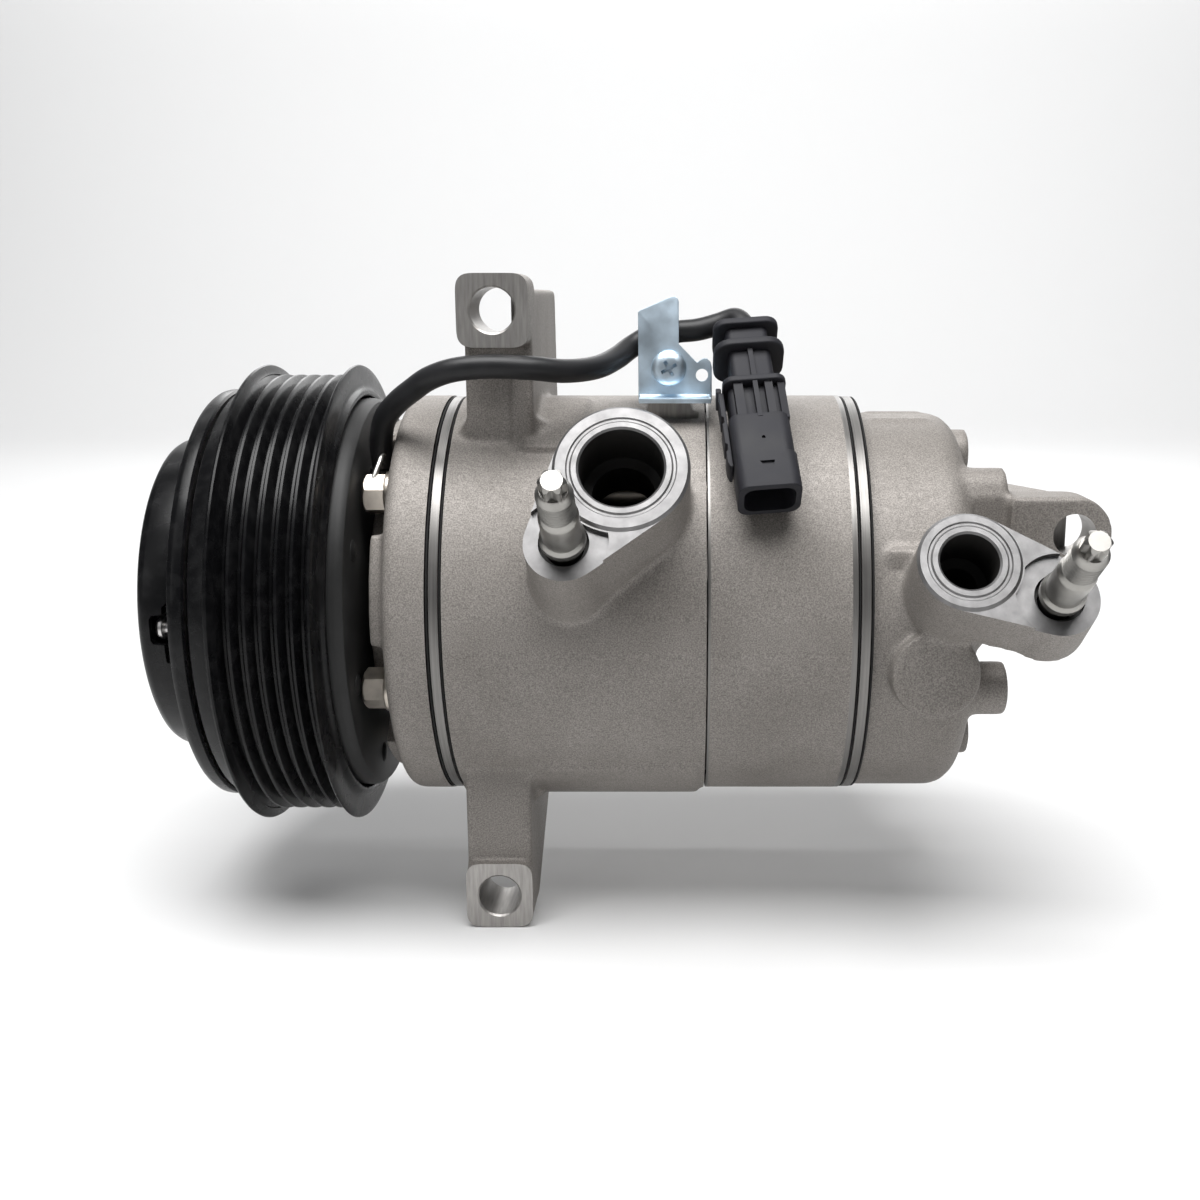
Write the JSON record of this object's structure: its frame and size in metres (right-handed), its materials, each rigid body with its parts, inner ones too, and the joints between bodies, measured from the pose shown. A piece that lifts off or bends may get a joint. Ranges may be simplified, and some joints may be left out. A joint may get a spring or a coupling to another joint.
{
  "type": "automotive air-conditioning compressor",
  "caption": "Swash-plate air-conditioning compressor with ribbed magnetic clutch pulley, mounting ears, hose ports with studs and a wired coil connector.",
  "frame": {"origin": "centre of the hub bolt's outer face, on the shaft axis at the drive end", "axes": "+X along the shaft towards the rear head, -Y out of the faces of the mounting ears, +Z from the lower ear to the upper ear"},
  "size_m": [0.23, 0.1511, 0.158],
  "materials": {
    "cast_aluminium": "fine sand-blasted casting",
    "machined_aluminium": "turned and milled faces",
    "black_paint": "gloss black dip paint on steel",
    "coil_paint": "satin black paint on steel",
    "bright_steel": "ground steel",
    "bolt_steel": "passivated steel",
    "zinc_plate": "bright zinc plate",
    "copper_winding": "enamelled copper wire in resin",
    "rubber": "matt black rubber",
    "lead_rubber": "satin black sleeve",
    "connector_plastic": "moulded dark grey nylon",
    "tinned_terminal": "tin plate",
    "gasket": "coated sheet gasket",
    "brass": "turned brass",
    "swash_iron": "ground iron"
  },
  "bodies": {
    "casing": {"front_housing": "cast_aluminium", "front_head_gasket": "gasket", "front_valve_plate": "machined_aluminium", "front_reed_plate": "bright_steel", "front_cylinder_block": "cast_aluminium", "body_o_ring": "rubber", "rear_cylinder_block": "cast_aluminium", "rear_reed_plate": "bright_steel", "rear_valve_plate": "machined_aluminium", "rear_head_gasket": "gasket", "rear_head": "cast_aluminium", "pressure_relief_valve": "brass", "suction_port_stud": "zinc_plate", "discharge_port_stud": "zinc_plate", "connector_bracket": "zinc_plate", "bracket_screw": "zinc_plate", "coil_lead": "lead_rubber", "lead_grommet": "rubber", "connector_housing": "connector_plastic", "connector_terminal_1": "tinned_terminal", "connector_terminal_2": "tinned_terminal", "connector_clip": "connector_plastic", "field_coil_shell": "coil_paint", "field_coil_winding": "copper_winding", "coil_snap_ring": "bright_steel", "pulley_bearing_inner_ring": "bright_steel", "pulley_snap_ring": "bright_steel", "front_needle_bearing": "bright_steel", "rear_needle_bearing": "bright_steel", "front_thrust_bearing": "bright_steel", "rear_thrust_bearing": "bright_steel", "shaft_seal": "rubber", "seal_retaining_ring": "bright_steel", "through_bolt_1": "bolt_steel", "through_bolt_2": "bolt_steel", "through_bolt_3": "bolt_steel", "through_bolt_4": "bolt_steel", "through_bolt_5": "bolt_steel"},
    "pulley": {"pulley": "black_paint", "pulley_bearing_ball_cage": "bright_steel", "pulley_bearing_outer_ring": "bright_steel"},
    "shaft": {"drive_shaft": "bright_steel", "swash_plate": "swash_iron", "clutch_hub": "black_paint", "hub_rubber_damper": "rubber", "hub_bolt": "bolt_steel"},
    "armature": {"hub_cup": "black_paint", "armature_plate": "black_paint", "armature_rivet_1": "bright_steel", "armature_rivet_2": "bright_steel", "armature_rivet_3": "bright_steel"},
    "piston_1": {"piston_1": "machined_aluminium"},
    "piston_2": {"piston_2": "machined_aluminium"},
    "piston_3": {"piston_3": "machined_aluminium"},
    "piston_4": {"piston_4": "machined_aluminium"},
    "piston_5": {"piston_5": "machined_aluminium"}
  },
  "joints": [
    {"name": "pulley_spin", "type": "hinge", "parent": "casing", "child": "pulley", "pos_m": [0.0347, 0, 0], "axis": [1, 0, 0], "continuous": true},
    {"name": "shaft_spin", "type": "hinge", "parent": "casing", "child": "shaft", "pos_m": [0.0815, 0, 0], "axis": [1, 0, 0], "continuous": true},
    {"name": "armature_pull_in", "type": "slide", "parent": "shaft", "child": "armature", "axis": [1, 0, 0], "range_m": [0, 0.0005], "stiffness_N_per_m": 20000},
    {"name": "piston_1_stroke", "type": "slide", "parent": "casing", "child": "piston_1", "axis": [1, 0, 0], "range_m": [-0.01386, 0.00014]},
    {"name": "piston_2_stroke", "type": "slide", "parent": "casing", "child": "piston_2", "axis": [1, 0, 0], "range_m": [-0.01051, 0.00349]},
    {"name": "piston_3_stroke", "type": "slide", "parent": "casing", "child": "piston_3", "axis": [1, 0, 0], "range_m": [-0.00231, 0.0117]},
    {"name": "piston_4_stroke", "type": "slide", "parent": "casing", "child": "piston_4", "axis": [1, 0, 0], "range_m": [-0.00059, 0.01341]},
    {"name": "piston_5_stroke", "type": "slide", "parent": "casing", "child": "piston_5", "axis": [1, 0, 0], "range_m": [-0.00773, 0.00627]}
  ]
}
